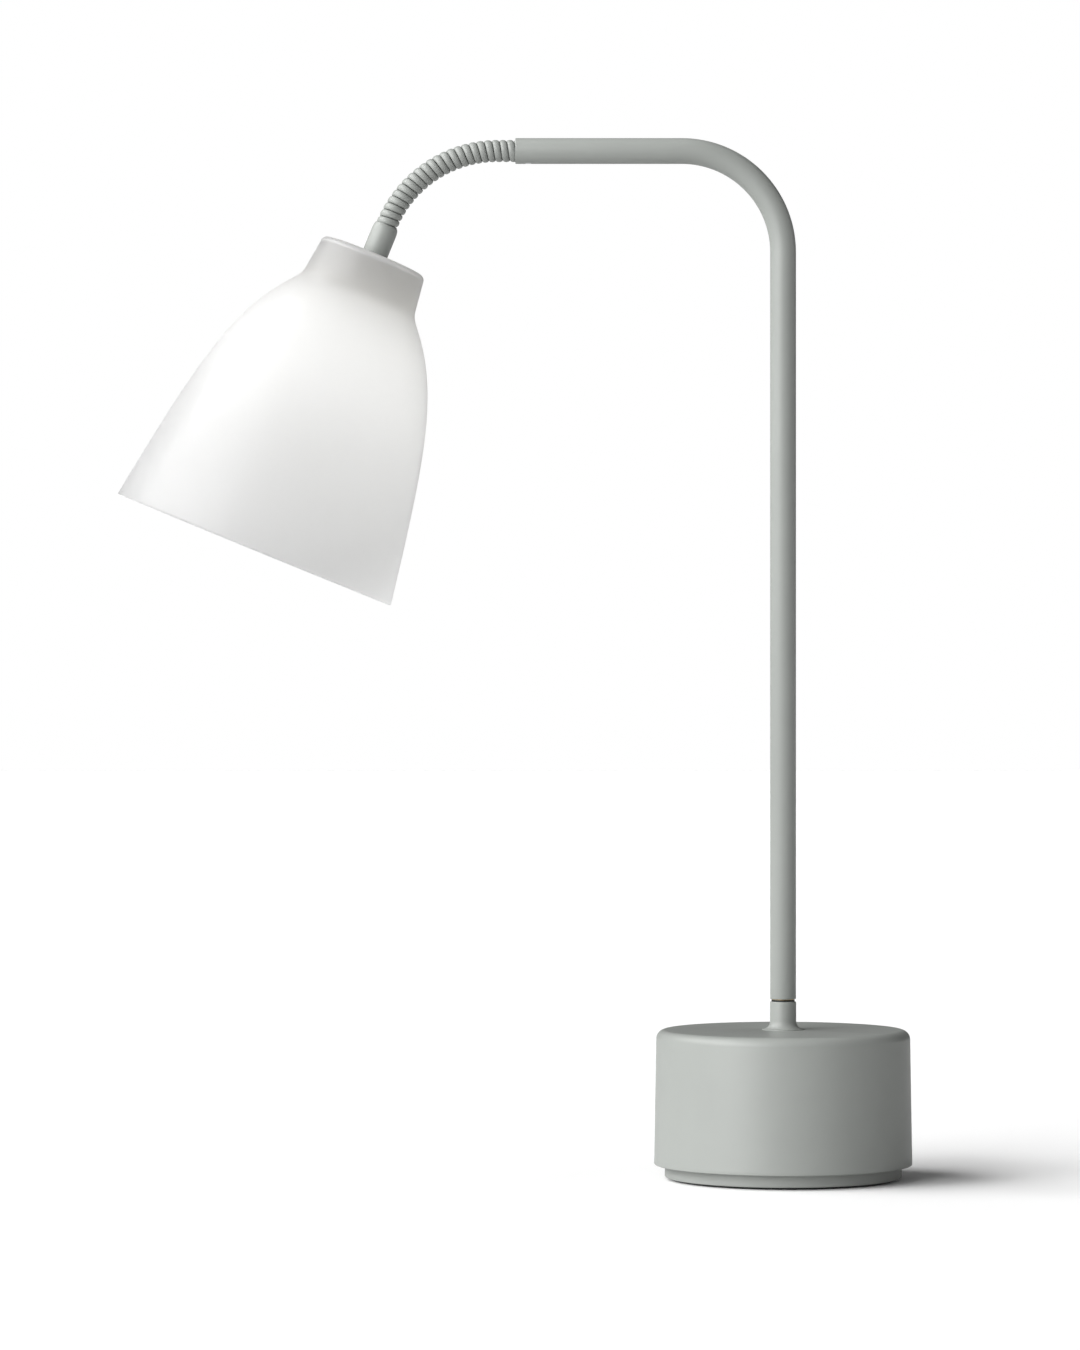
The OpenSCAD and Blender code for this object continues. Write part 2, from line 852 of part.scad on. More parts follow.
module bulb_cap() {
    color(STEEL)
        on_head() {
            rod(bulb_cap_r, bulb_neck_z, bulb_cap_z - bulb_cap_taper);
            translate([0, 0, bulb_cap_z - bulb_cap_taper])
                cylinder(r1 = bulb_cap_r, r2 = bulb_cap_end_r, h = bulb_cap_taper);
            rod(bulb_tip_r, bulb_cap_z - eps, bulb_cap_z + bulb_tip_h);
        }
}

module bulb_globe() {
    color(OPAL)
        on_head() {
            translate([0, 0, bulb_collar_z])
                cylinder(r1 = bulb_collar_r, r2 = bulb_neck_r, h = bulb_neck_z - bulb_collar_z);
            translate([0, 0, bulb_z])
                sphere(r = bulb_r);
        }
}

foot_pad();
base_plate();
base_housing();
ballast_weight();
plate_screws();
ballast_screws();
cord_gland();
terminal_block();
terminal_screws();
base_lead();
stem_nut();
stem_washer();
swivel_stem();
pole_collar();
thrust_washer();
wave_washer();
retaining_nut();
stop_pin();
arm_tube();
tube_bearing();
arm_lead();
neck_root();
neck_set_screw();
for (i = [1 : neck_turns])
    neck_turn(i);
neck_ferrule();
upper_gasket();
shade();
lower_gasket();
shade_nut();
head_nipple();
head_lead();
holder_cap();
holder_body();
holder_contact();
holder_shell();
bulb_cap();
bulb_globe();
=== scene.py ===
import json
import math

import bpy
from bpy.props import FloatProperty, FloatVectorProperty, PointerProperty
from mathutils import Matrix, Vector

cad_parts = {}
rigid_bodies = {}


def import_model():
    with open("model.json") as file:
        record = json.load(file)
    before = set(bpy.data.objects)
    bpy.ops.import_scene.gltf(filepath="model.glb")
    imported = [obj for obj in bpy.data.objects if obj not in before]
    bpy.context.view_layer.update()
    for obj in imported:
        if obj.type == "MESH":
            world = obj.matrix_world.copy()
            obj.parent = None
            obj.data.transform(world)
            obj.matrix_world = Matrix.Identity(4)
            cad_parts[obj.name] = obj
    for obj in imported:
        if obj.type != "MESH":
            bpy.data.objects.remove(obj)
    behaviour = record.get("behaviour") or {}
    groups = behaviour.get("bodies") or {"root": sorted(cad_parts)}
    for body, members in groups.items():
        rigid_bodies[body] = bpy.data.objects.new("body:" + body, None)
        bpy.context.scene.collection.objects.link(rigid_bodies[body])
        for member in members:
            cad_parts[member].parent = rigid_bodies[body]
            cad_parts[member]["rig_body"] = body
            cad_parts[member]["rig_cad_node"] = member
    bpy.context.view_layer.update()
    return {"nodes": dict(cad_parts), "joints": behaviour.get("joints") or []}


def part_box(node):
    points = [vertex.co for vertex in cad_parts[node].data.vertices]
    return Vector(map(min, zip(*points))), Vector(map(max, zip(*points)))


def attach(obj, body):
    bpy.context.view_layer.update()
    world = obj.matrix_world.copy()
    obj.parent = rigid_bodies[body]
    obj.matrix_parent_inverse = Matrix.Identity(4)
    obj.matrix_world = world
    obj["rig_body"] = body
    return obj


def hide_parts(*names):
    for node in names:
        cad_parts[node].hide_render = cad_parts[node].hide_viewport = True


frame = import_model()

bl_info = {
    "name": "Gooseneck Desk Lamp",
    "version": (1, 0, 0),
    "blender": (4, 5, 0),
    "location": "3D View > Sidebar > Lamp",
    "description": "Models the painted, glass and metal pieces of a desk lamp around its CAD frame",
    "category": "Add Mesh",
}

MM = 0.001
FULL_TURN = 2 * math.pi
ROUND_STEPS = 144  # facets around a large round piece
SMALL_STEPS = 64  # facets around a small one
CREASE = math.radians(35)  # edges sharper than this stay crisp or are rounded off

# ---- Places that come from the frame ----

PAD_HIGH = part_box("foot_pad")[1]
PLATE_LOW, PLATE_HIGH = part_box("base_plate")
HOUSING_LOW, HOUSING_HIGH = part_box("base_housing")
GLAND_LOW, GLAND_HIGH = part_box("cord_gland")
COLLAR_LOW, COLLAR_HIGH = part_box("pole_collar")
WASHER_LOW, WASHER_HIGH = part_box("thrust_washer")
STEM_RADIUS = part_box("swivel_stem")[1].x
TUBE_LOW, TUBE_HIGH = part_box("arm_tube")
SET_SCREW_LOW, SET_SCREW_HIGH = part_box("neck_set_screw")
TUBE_RADIUS = TUBE_HIGH.x
ARM_HEIGHT = TUBE_HIGH.z - TUBE_RADIUS
ARM_END = TUBE_LOW.x
NECK_JOINTS = [joint for joint in frame["joints"] if joint["name"].startswith("neck_")]
NECK_TURNS = len(NECK_JOINTS) + 1


# ---- Sizes and colours that a user would change ----

def length(name, description, millimetres):
    return FloatProperty(name=name, description=description, default=millimetres * MM,
                         min=0.0, precision=5, unit="LENGTH")


def tint(name, description, colour):
    return FloatVectorProperty(name=name, description=description, default=colour,
                               min=0.0, max=1.0, size=3, subtype="COLOR")


class LampSizes(bpy.types.PropertyGroup):
    """Sizes of the lamp that the frame's boxes don't give."""

    housing_wall: length("Housing wall", "Wall thickness of the base housing", 2.5)
    housing_draft: length("Housing draft", "How much the housing's radius shrinks to its top", 1.15)
    housing_edge: length("Housing edge", "Radius of the housing's rounded top edge", 5)
    foot_recess: length("Foot recess", "How far the foot is set back under the housing", 5.75)
    collar_flare: length("Collar flare", "Radius of the flare at the collar's foot", 4.2)
    tube_wall: length("Tube wall", "Wall thickness of the arm's tube", 1)
    bend_radius: length("Bend radius", "Radius of the arm's bend, at its centre line", 55)
    neck_radius: length("Neck radius", "Radius of the gooseneck over its crests", 6)
    neck_pitch: length("Neck pitch", "Length of gooseneck that each turn takes", 3.93)
    neck_straight: length("Neck straight", "Straight stretch where the gooseneck leaves the arm", 9.8)
    neck_drop: FloatProperty(name="Neck drop", description="How far the gooseneck turns down",
                             default=math.radians(67.8), subtype="ANGLE")
    bead_width: length("Bead width", "Width of the gooseneck's wound wire", 3.6)
    bead_height: length("Bead height", "Height of the wire's rounded crest", 0.95)
    ferrule_length: length("Ferrule length", "Length of the ferrule", 17)
    ferrule_radius: length("Ferrule radius", "Radius of the ferrule's straight part", 7)
    shade_radius: length("Shade radius", "Radius of the shade at its open rim", 80)
    shade_height: length("Shade height", "Height of the shade along its axis", 172.5)
    shade_neck_radius: length("Shade neck radius", "Radius of the shade's neck, at its foot", 32)
    glass: length("Glass", "Thickness of the shade's glass", 3)
    holder_radius: length("Holder radius", "Radius of the lamp holder's cap", 14)
    bulb_radius: length("Bulb radius", "Radius of the bulb's dome", 22.5)


class LampColours(bpy.types.PropertyGroup):
    """Colours of the lamp's finishes."""

    paint: tint("Paint", "Colour of the satin paint", (0.298, 0.312, 0.297))
    glass: tint("Opal glass", "Colour of the opal glass", (0.88, 0.88, 0.87))
    felt: tint("Felt", "Colour of the pad under the foot", (0.022, 0.024, 0.024))
    plastic: tint("Black plastic", "Colour of the cord inlet and the swivel washer", (0.018, 0.019, 0.018))
    holder: tint("Holder plastic", "Colour of the lamp holder", (0.80, 0.76, 0.66))


# ---- Modelling steps ----

def edit():
    bpy.ops.object.mode_set(mode="EDIT")
    bpy.ops.mesh.select_all(action="SELECT")


def leave_edit():
    bpy.ops.object.mode_set(mode="OBJECT")


def clear_selection():
    if bpy.context.object and bpy.context.object.mode != "OBJECT":
        leave_edit()
    bpy.ops.object.select_all(action="DESELECT")


def make_active(piece):
    clear_selection()
    piece.select_set(True)
    bpy.context.view_layer.objects.active = piece


def new_piece(name):
    """Names the primitive that was just added."""
    piece = bpy.context.object
    piece.name = name
    piece.data.name = name
    return piece


def apply_modifier(piece, kind, **settings):
    """Adds one modifier with its settings and applies it."""
    make_active(piece)
    modifier = piece.modifiers.new(kind.lower(), kind)
    for setting, value in settings.items():
        setattr(modifier, setting, value)
    bpy.ops.object.modifier_apply(modifier=modifier.name)


def close_seams(piece):
    """Merges doubled corners and points the faces outwards."""
    make_active(piece)
    edit()
    bpy.ops.mesh.remove_doubles(threshold=0.002 * MM)
    bpy.ops.mesh.normals_make_consistent(inside=False)
    leave_edit()


def draw_outline(name, points):
    """Draws a line of edges, corner by corner, from a plane that is merged to one corner."""
    clear_selection()
    bpy.ops.mesh.primitive_plane_add(size=MM)
    piece = new_piece(name)
    edit()
    bpy.ops.mesh.merge(type="CENTER")
    bpy.ops.mesh.select_all(action="SELECT")
    bpy.ops.transform.translate(value=points[0])
    for here, there in zip(points, points[1:]):
        bpy.ops.mesh.extrude_vertices_move(TRANSFORM_OT_translate={"value": there - here})
    leave_edit()
    return piece


def lathe(name, outline, steps=SMALL_STEPS):
    """Spins an outline of (radius, height) corners about the Z axis."""
    piece = draw_outline(name, [Vector((radius, 0, height)) for radius, height in outline])
    make_active(piece)
    edit()
    bpy.ops.mesh.spin(steps=steps, angle=FULL_TURN, center=(0, 0, 0), axis=(0, 0, 1))
    leave_edit()
    close_seams(piece)
    return piece


def ring(name, outline, steps=SMALL_STEPS):
    """Spins an outline that closes on itself."""
    return lathe(name, outline + outline[:1], steps)


def round_edges(piece, width, segments=3):
    apply_modifier(piece, "BEVEL", width=width, segments=segments, limit_method="ANGLE",
                   angle_limit=CREASE)


def arc(centre_radius, centre_height, radius, start, end, steps):
    """Corners of an arc in an outline, from one angle to another, in degrees."""
    angles = [math.radians(start + (end - start) * step / steps) for step in range(steps + 1)]
    return [(centre_radius + radius * math.cos(a), centre_height + radius * math.sin(a)) for a in angles]


def rod(name, radius, low, high, matrix=Matrix(), steps=SMALL_STEPS, top_radius=None):
    """A plain closed rod, to cut with or to join on."""
    clear_selection()
    bpy.ops.mesh.primitive_cone_add(vertices=steps, radius1=radius,
                                    radius2=radius if top_radius is None else top_radius,
                                    depth=high - low, location=(0, 0, (low + high) / 2))
    piece = new_piece(name)
    bpy.ops.object.transform_apply(location=True, rotation=True, scale=True)
    place(piece, matrix)
    return piece


def join(pieces):
    make_active(pieces[0])
    for piece in pieces[1:]:
        piece.select_set(True)
    bpy.ops.object.join()
    return pieces[0]


def combine(piece, tools, operation="DIFFERENCE"):
    """Cuts tools out of a piece, or unites it with them."""
    tool = join(tools)
    apply_modifier(piece, "BOOLEAN", object=tool, operation=operation, solver="EXACT",
                   use_self=True)
    make_active(tool)
    bpy.ops.object.delete()


def place(piece, matrix):
    """Moves a piece to its place and leaves the place in its mesh."""
    make_active(piece)
    piece.matrix_world = matrix
    bpy.ops.object.transform_apply(location=True, rotation=True, scale=True)


def around(count, radius, start):
    """Places on a circle about the Z axis, the first at start degrees."""
    return [Matrix.Rotation(math.radians(start) + FULL_TURN * i / count, 4, "Z")
            @ Matrix.Translation((radius, 0, 0)) for i in range(count)]


def hand_over(piece, body, slot, *nodes):
    """Smooths a finished piece, gives it its material and puts it in the frame."""
    make_active(piece)
    bpy.ops.object.shade_smooth_by_angle(angle=CREASE)
    piece.data.materials.clear()
    piece.data.materials.append(finish_for(slot))
    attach(piece, body)
    if nodes:
        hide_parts(*nodes)


# ---- Gooseneck and head, along the neck's centre line ----

def neck_length(sizes):
    return NECK_TURNS * sizes.neck_pitch


def neck_angle(sizes, along):
    curved = neck_length(sizes) - sizes.neck_straight
    return sizes.neck_drop * max(0.0, along - sizes.neck_straight) / curved


def neck_point(sizes, along):
    """A point on the neck's centre line, at a length from the arm's end."""
    radius = (neck_length(sizes) - sizes.neck_straight) / sizes.neck_drop
    angle = neck_angle(sizes, along)
    return Vector((ARM_END - min(along, sizes.neck_straight) - radius * math.sin(angle), 0,
                   ARM_HEIGHT - radius * (1 - math.cos(angle))))


def head_place(sizes):
    """The head's own axis: its origin at the neck's end and +Z pointing back up the neck."""
    tilt = Matrix.Rotation(math.pi / 2 - sizes.neck_drop, 4, "Y")
    return Matrix.Translation(neck_point(sizes, neck_length(sizes))) @ tilt


def check_neck(sizes):
    """The neck's joints in the frame have to lie on this centre line."""
    for boundary, joint in enumerate(sorted(NECK_JOINTS, key=lambda joint: -joint["pos_m"][0]), 1):
        gap = Vector(joint["pos_m"]) - neck_point(sizes, boundary * sizes.neck_pitch)
        if gap.length > 0.1 * MM:
            raise RuntimeError(f"{joint['name']} lies {gap.length / MM:.2f} mm off the neck's centre line")


def bezier(points, step):
    a, b, c, d = (Vector(point) for point in points)
    back = 1 - step
    return a * back ** 3 + b * 3 * back * back * step + c * 3 * back * step * step + d * step ** 3


def bezier_slope(points, step):
    a, b, c, d = (Vector(point) for point in points)
    back = 1 - step
    return (b - a) * back * back + (c - b) * 2 * back * step + (d - c) * step * step


def inset_curve(points, steps, inset):
    """Corners along a curve of (radius, height), moved inwards."""
    corners = []
    for i in range(steps + 1):
        slope = bezier_slope(points, i / steps).normalized()
        corner = bezier(points, i / steps) + Vector((-slope.y, slope.x)) * inset
        corners.append((corner.x, corner.y))
    return corners


# ---- Materials ----

def new_finish(name, colour, roughness, metallic=0.0):
    material = bpy.data.materials.new(name)
    material.use_nodes = True
    shader = material.node_tree.nodes["Principled BSDF"]
    shader.inputs["Base Color"].default_value = (*colour, 1)
    shader.inputs["Roughness"].default_value = roughness
    shader.inputs["Metallic"].default_value = metallic
    return material, material.node_tree, shader


def noise(tree, per_metre, detail=3.0, stretch=(1, 1, 1)):
    """A noise pattern on the piece's own coordinates."""
    place_on = tree.nodes.new("ShaderNodeTexCoord")
    mapping = tree.nodes.new("ShaderNodeMapping")
    mapping.inputs["Scale"].default_value = stretch
    pattern = tree.nodes.new("ShaderNodeTexNoise")
    pattern.inputs["Scale"].default_value = per_metre
    pattern.inputs["Detail"].default_value = detail
    tree.links.new(place_on.outputs["Object"], mapping.inputs["Vector"])
    tree.links.new(mapping.outputs["Vector"], pattern.inputs["Vector"])
    return pattern.outputs["Fac"]


def cells(tree, per_metre):
    """A pattern of cells on the piece's own coordinates."""
    place_on = tree.nodes.new("ShaderNodeTexCoord")
    pattern = tree.nodes.new("ShaderNodeTexVoronoi")
    pattern.inputs["Scale"].default_value = per_metre
    tree.links.new(place_on.outputs["Object"], pattern.inputs["Vector"])
    return pattern.outputs["Color"]


def vary_colour(tree, shader, pattern, colour, spread, low=0.3, high=0.7):
    """Lets the colour run a little darker and lighter with the pattern."""
    ramp = tree.nodes.new("ShaderNodeValToRGB")
    ramp.color_ramp.elements[0].position = low
    ramp.color_ramp.elements[1].position = high
    ramp.color_ramp.elements[0].color = (*[part * (1 - spread) for part in colour], 1)
    ramp.color_ramp.elements[1].color = (*[min(1, part * (1 + spread)) for part in colour], 1)
    tree.links.new(pattern, ramp.inputs["Fac"])
    tree.links.new(ramp.outputs["Color"], shader.inputs["Base Color"])


def vary_roughness(tree, shader, pattern, low, high):
    spread = tree.nodes.new("ShaderNodeMapRange")
    spread.inputs["To Min"].default_value = low
    spread.inputs["To Max"].default_value = high
    tree.links.new(pattern, spread.inputs["Value"])
    tree.links.new(spread.outputs["Result"], shader.inputs["Roughness"])


def raise_surface(tree, shader, pattern, strength, millimetres):
    bump = tree.nodes.new("ShaderNodeBump")
    bump.inputs["Strength"].default_value = strength
    bump.inputs["Distance"].default_value = millimetres * MM
    tree.links.new(pattern, bump.inputs["Height"])
    tree.links.new(bump.outputs["Normal"], shader.inputs["Normal"])


def satin_paint(colours):
    """Sage powder coat: satin, with a faint orange-peel surface."""
    material, tree, shader = new_finish("satin paint", colours.paint, 0.4)
    shader.inputs["Specular IOR Level"].default_value = 0.4
    vary_colour(tree, shader, noise(tree, 45, 5), colours.paint, 0.015)
    vary_roughness(tree, shader, noise(tree, 160), 0.36, 0.46)
    raise_surface(tree, shader, noise(tree, 1300, 2), 0.2, 0.015)
    return material


def opal_glass(colours):
    """White opal glass with an etched, satin skin."""
    material, tree, shader = new_finish("opal glass", colours.glass, 0.34)
    shader.inputs["Subsurface Weight"].default_value = 1.0
    shader.inputs["Subsurface Radius"].default_value = (1.0, 1.0, 0.98)
    shader.inputs["Subsurface Scale"].default_value = 160 * MM
    shader.inputs["IOR"].default_value = 1.5
    shader.inputs["Specular IOR Level"].default_value = 0.25
    vary_colour(tree, shader, noise(tree, 14, 2), colours.glass, 0.012)
    vary_roughness(tree, shader, noise(tree, 60), 0.3, 0.42)
    raise_surface(tree, shader, noise(tree, 60, 1), 0.25, 0.03)
    return material


def felt(colours):
    """Pressed wool: a matt mat of short fibres."""
    material, tree, shader = new_finish("felt", colours.felt, 0.95)
    shader.inputs["Sheen Weight"].default_value = 0.5
    vary_colour(tree, shader, noise(tree, 900, 6, (1, 3, 1)), colours.felt, 0.4)
    raise_surface(tree, shader, noise(tree, 1600, 6, (3, 1, 1)), 0.9, 0.25)
    return material


def cast_iron(colours):
    """Sand-cast iron with a thin dark oxide."""
    material, tree, shader = new_finish("cast iron", (0.06, 0.063, 0.066), 0.6, 0.7)
    vary_colour(tree, shader, noise(tree, 120, 6), (0.06, 0.063, 0.066), 0.35)
    vary_roughness(tree, shader, noise(tree, 300), 0.5, 0.8)
    raise_surface(tree, shader, noise(tree, 900, 6), 0.8, 0.25)
    return material


def zinc_steel(colours):
    """Bright zinc plating, with the bath's faint spangle and fine turning marks."""
    material, tree, shader = new_finish("zinc plated steel", (0.62, 0.63, 0.64), 0.3, 1.0)
    vary_colour(tree, shader, cells(tree, 500), (0.62, 0.63, 0.64), 0.08)
    vary_roughness(tree, shader, noise(tree, 400), 0.22, 0.42)
    raise_surface(tree, shader, noise(tree, 500, 2, (1, 1, 9)), 0.25, 0.02)
    return material


def brass(colours):
    """Turned brass, a little dulled."""
    material, tree, shader = new_finish("brass", (0.72, 0.51, 0.22), 0.28, 1.0)
    vary_colour(tree, shader, noise(tree, 250, 5), (0.72, 0.51, 0.22), 0.12)
    vary_roughness(tree, shader, noise(tree, 500), 0.2, 0.4)
    raise_surface(tree, shader, noise(tree, 700, 2, (1, 1, 9)), 0.2, 0.02)
    return material


def black_plastic(colours):
    """Moulded nylon with a fine grain."""
    material, tree, shader = new_finish("black plastic", colours.plastic, 0.5)
    vary_colour(tree, shader, noise(tree, 300), colours.plastic, 0.2)
    vary_roughness(tree, shader, noise(tree, 800), 0.42, 0.6)
    raise_surface(tree, shader, noise(tree, 2600, 2), 0.4, 0.04)
    return material


def holder_plastic(colours):
    """Cream thermoset, glossy where the mould was polished."""
    material, tree, shader = new_finish("holder plastic", colours.holder, 0.28)
    shader.inputs["Coat Weight"].default_value = 0.2
    vary_colour(tree, shader, noise(tree, 90, 4), colours.holder, 0.03)
    vary_roughness(tree, shader, noise(tree, 300), 0.22, 0.36)
    raise_surface(tree, shader, noise(tree, 400, 2), 0.15, 0.02)
    return material


def lead_sheath(colours):
    """Soft rubber sheath of the inner leads."""
    material, tree, shader = new_finish("lead sheath", (0.025, 0.025, 0.026), 0.62)
    vary_colour(tree, shader, noise(tree, 200), (0.025, 0.025, 0.026), 0.25)
    raise_surface(tree, shader, noise(tree, 1800, 3), 0.4, 0.05)
    return material


def silicone(colours):
    """Grey silicone rubber of the two gaskets that hold the glass."""
    material, tree, shader = new_finish("silicone", (0.16, 0.165, 0.16), 0.55)
    shader.inputs["Subsurface Weight"].default_value = 0.15
    shader.inputs["Subsurface Scale"].default_value = 1 * MM
    vary_colour(tree, shader, noise(tree, 250), (0.16, 0.165, 0.16), 0.1)
    raise_surface(tree, shader, noise(tree, 1500, 2), 0.25, 0.03)
    return material


DIFFUSER = (0.88, 0.88, 0.86)
BULB_GLOW = 1.6


def bulb_plastic(colours):
    """Milky diffuser of the bulb, faintly alight."""
    material, tree, shader = new_finish("bulb diffuser", DIFFUSER, 0.45)
    shader.inputs["Subsurface Weight"].default_value = 0.5
    shader.inputs["Subsurface Scale"].default_value = 3 * MM
    shader.inputs["Emission Color"].default_value = (1, 1, 1, 1)
    shader.inputs["Emission Strength"].default_value = BULB_GLOW
    vary_colour(tree, shader, noise(tree, 60), DIFFUSER, 0.015)
    vary_roughness(tree, shader, noise(tree, 500), 0.4, 0.52)
    raise_surface(tree, shader, noise(tree, 2200, 2), 0.2, 0.02)
    return material


def bulb_cap_metal(colours):
    """Nickel-plated screw cap of the bulb."""
    material, tree, shader = new_finish("bulb cap metal", (0.66, 0.64, 0.60), 0.25, 1.0)
    vary_colour(tree, shader, noise(tree, 300, 4), (0.66, 0.64, 0.60), 0.06)
    vary_roughness(tree, shader, noise(tree, 600), 0.18, 0.35)
    raise_surface(tree, shader, noise(tree, 900, 2, (1, 1, 5)), 0.2, 0.02)
    return material


FINISHES = {
    "sage_paint": satin_paint,
    "opal_glass": opal_glass,
    "felt": felt,
    "cast_iron": cast_iron,
    "zinc_steel": zinc_steel,
    "brass": brass,
    "black_plastic": black_plastic,
    "cream_plastic": holder_plastic,
    "lead_sheath": lead_sheath,
    "silicone": silicone,
    "bulb_diffuser": bulb_plastic,
    "bulb_cap_metal": bulb_cap_metal,
}
made_finishes = {}


def finish_for(slot):
    """The material of a slot, made when it is first asked for."""
    if slot not in made_finishes:
        made_finishes[slot] = FINISHES[slot](bpy.context.scene.lamp_colours)
    return made_finishes[slot]


# ---- Base ----

HOLE_GAP = 0.2 * MM
POST_RADIUS = 4.5 * MM
POST_CIRCLE = 56.5 * MM
POST_COUNT = 4
POST_START = 45
PLATE_SCREW_RADIUS = 2 * MM
PLATE_SCREW_HEAD = 3.8 * MM
PLATE_SCREW_DEPTH = 15 * MM
WEIGHT_SCREW_RADIUS = 2.5 * MM
WEIGHT_SCREW_HEAD = 4.8 * MM
WEIGHT_SCREW_CIRCLE = 30.6 * MM
SCREW_HEAD_DEPTH = 2.3 * MM
GLAND_HEIGHT = (GLAND_LOW.z + GLAND_HIGH.z) / 2
GLAND_FLANGE = (GLAND_HIGH.z - GLAND_LOW.z) / 2
GLAND_BODY = 5.4 * MM
GLAND_BORE = 3.5 * MM
GLAND_FACE = GLAND_HIGH.y - 2.2 * MM
GLAND_AXIS = Matrix.Translation((0, 0, GLAND_HEIGHT)) @ Matrix.Rotation(-math.pi / 2, 4, "X")
CUT = 1 * MM  # how far a cutting tool runs past a face


class LAMP_OT_foot(bpy.types.Operator):
    """Make the felt pad and the recessed foot"""

    bl_idname = "lamp.foot"
    bl_label = "Foot"

    def execute(self, context):
        pad_radius = PAD_HIGH.x
        pad = lathe("felt_pad", [(0, 0), (pad_radius, 0), (pad_radius, PAD_HIGH.z), (0, PAD_HIGH.z)],
                    ROUND_STEPS)
        round_edges(pad, 0.35 * MM)
        hand_over(pad, "base", "felt", "foot_pad")

        foot_radius = HOUSING_HIGH.x - context.scene.lamp_sizes.foot_recess
        foot_top = HOUSING_LOW.z
        foot = lathe("foot", [(0, PLATE_LOW.z), (foot_radius, PLATE_LOW.z), (foot_radius, foot_top),
                              (PLATE_HIGH.x, foot_top), (PLATE_HIGH.x, PLATE_HIGH.z),
                              (0, PLATE_HIGH.z)], ROUND_STEPS)
        round_edges(foot, 0.7 * MM, 4)
        holes = []
        low, high = PLATE_LOW.z, PLATE_HIGH.z + CUT
        for screw, head, circle, count, start in (
                (PLATE_SCREW_RADIUS, PLATE_SCREW_HEAD, POST_CIRCLE, POST_COUNT, POST_START),
                (WEIGHT_SCREW_RADIUS, WEIGHT_SCREW_HEAD, WEIGHT_SCREW_CIRCLE, 3, 90)):
            for spot in around(count, circle, start):
                holes.append(rod("hole", screw + 0.1 * MM, low - CUT, high, spot, 24))
                holes.append(rod("sink", head + 0.1 * MM, low - 0.01 * MM, low + SCREW_HEAD_DEPTH, spot, 24,
                                 screw + 0.05 * MM))
        combine(foot, holes)
        hand_over(foot, "base", "sage_paint", "base_plate")
        return {"FINISHED"}


class LAMP_OT_housing(bpy.types.Operator):
    """Make the base housing: a drafted shell with a rounded top, screw posts and the cord's hole"""

    bl_idname = "lamp.housing"
    bl_label = "Base housing"

    def execute(self, context):
        sizes = context.scene.lamp_sizes
        wall, edge = sizes.housing_wall, sizes.housing_edge
        low, high = HOUSING_LOW.z, HOUSING_HIGH.z
        low_radius = HOUSING_HIGH.x
        high_radius = low_radius - sizes.housing_draft
        edge_low = high - edge
        hole = STEM_RADIUS + HOLE_GAP

        def side(height, inset):
            share = (height - low) / (edge_low - low)
            return low_radius + (high_radius - low_radius) * share - inset, height

        levels = [low, GLAND_HEIGHT - 9 * MM, GLAND_HEIGHT + 9 * MM, (GLAND_HEIGHT + edge_low) / 2]
        outside = [side(level, 0) for level in levels]
        outside += arc(high_radius - edge, edge_low, edge, 0, 90, 14)
        inside = arc(high_radius - edge, edge_low, edge - wall, 90, 0, 6)
        inside += [side(level, wall) for level in reversed(levels)]
        shell = ring("housing", outside + [(hole, high), (hole, high - wall)] + inside, ROUND_STEPS)
        round_edges(shell, 0.5 * MM)

        posts = [rod("post", POST_RADIUS, PLATE_HIGH.z, high - wall / 2, spot, 32)
                 for spot in around(POST_COUNT, POST_CIRCLE, POST_START)]
        combine(shell, posts, "UNION")
        holes = [rod("thread", PLATE_SCREW_RADIUS, PLATE_HIGH.z - CUT, PLATE_HIGH.z + PLATE_SCREW_DEPTH,
                     spot, 24) for spot in around(POST_COUNT, POST_CIRCLE, POST_START)]
        holes.append(rod("inlet", GLAND_BODY + HOLE_GAP, GLAND_LOW.y, low_radius + CUT, GLAND_AXIS))
        holes.append(rod("pocket", GLAND_FLANGE + 0.5 * MM, GLAND_FACE, low_radius + CUT, GLAND_AXIS))
        combine(shell, holes)
        hand_over(shell, "base", "sage_paint", "base_housing")
        return {"FINISHED"}


class LAMP_OT_inlet(bpy.types.Operator):
    """Make the bushing that the cord comes in through"""

    bl_idname = "lamp.inlet"
    bl_label = "Cord inlet"

    def execute(self, context):
        wall = context.scene.lamp_sizes.housing_wall
        barb_high = GLAND_FACE - wall - HOLE_GAP
        barb_low = barb_high - 2 * MM
        barb = GLAND_BODY + 0.8 * MM
        outer = GLAND_HIGH.y
        mouth = 0.9 * MM
        bushing = ring("cord_bushing", [
            (GLAND_BORE, GLAND_LOW.y), (GLAND_BODY, GLAND_LOW.y), (GLAND_BODY, barb_low),
            (barb, barb_high - 0.4 * MM), (barb, barb_high), (GLAND_BODY, barb_high),
            (GLAND_BODY, GLAND_FACE), (GLAND_FLANGE, GLAND_FACE), (GLAND_FLANGE, outer - mouth),
            (GLAND_FLANGE - mouth, outer), (GLAND_BORE + mouth, outer), (GLAND_BORE, outer - mouth)])
        round_edges(bushing, 0.25 * MM)
        place(bushing, GLAND_AXIS)
        hand_over(bushing, "base", "black_plastic", "cord_gland")
        return {"FINISHED"}


# ---- Collar, arm and gooseneck ----

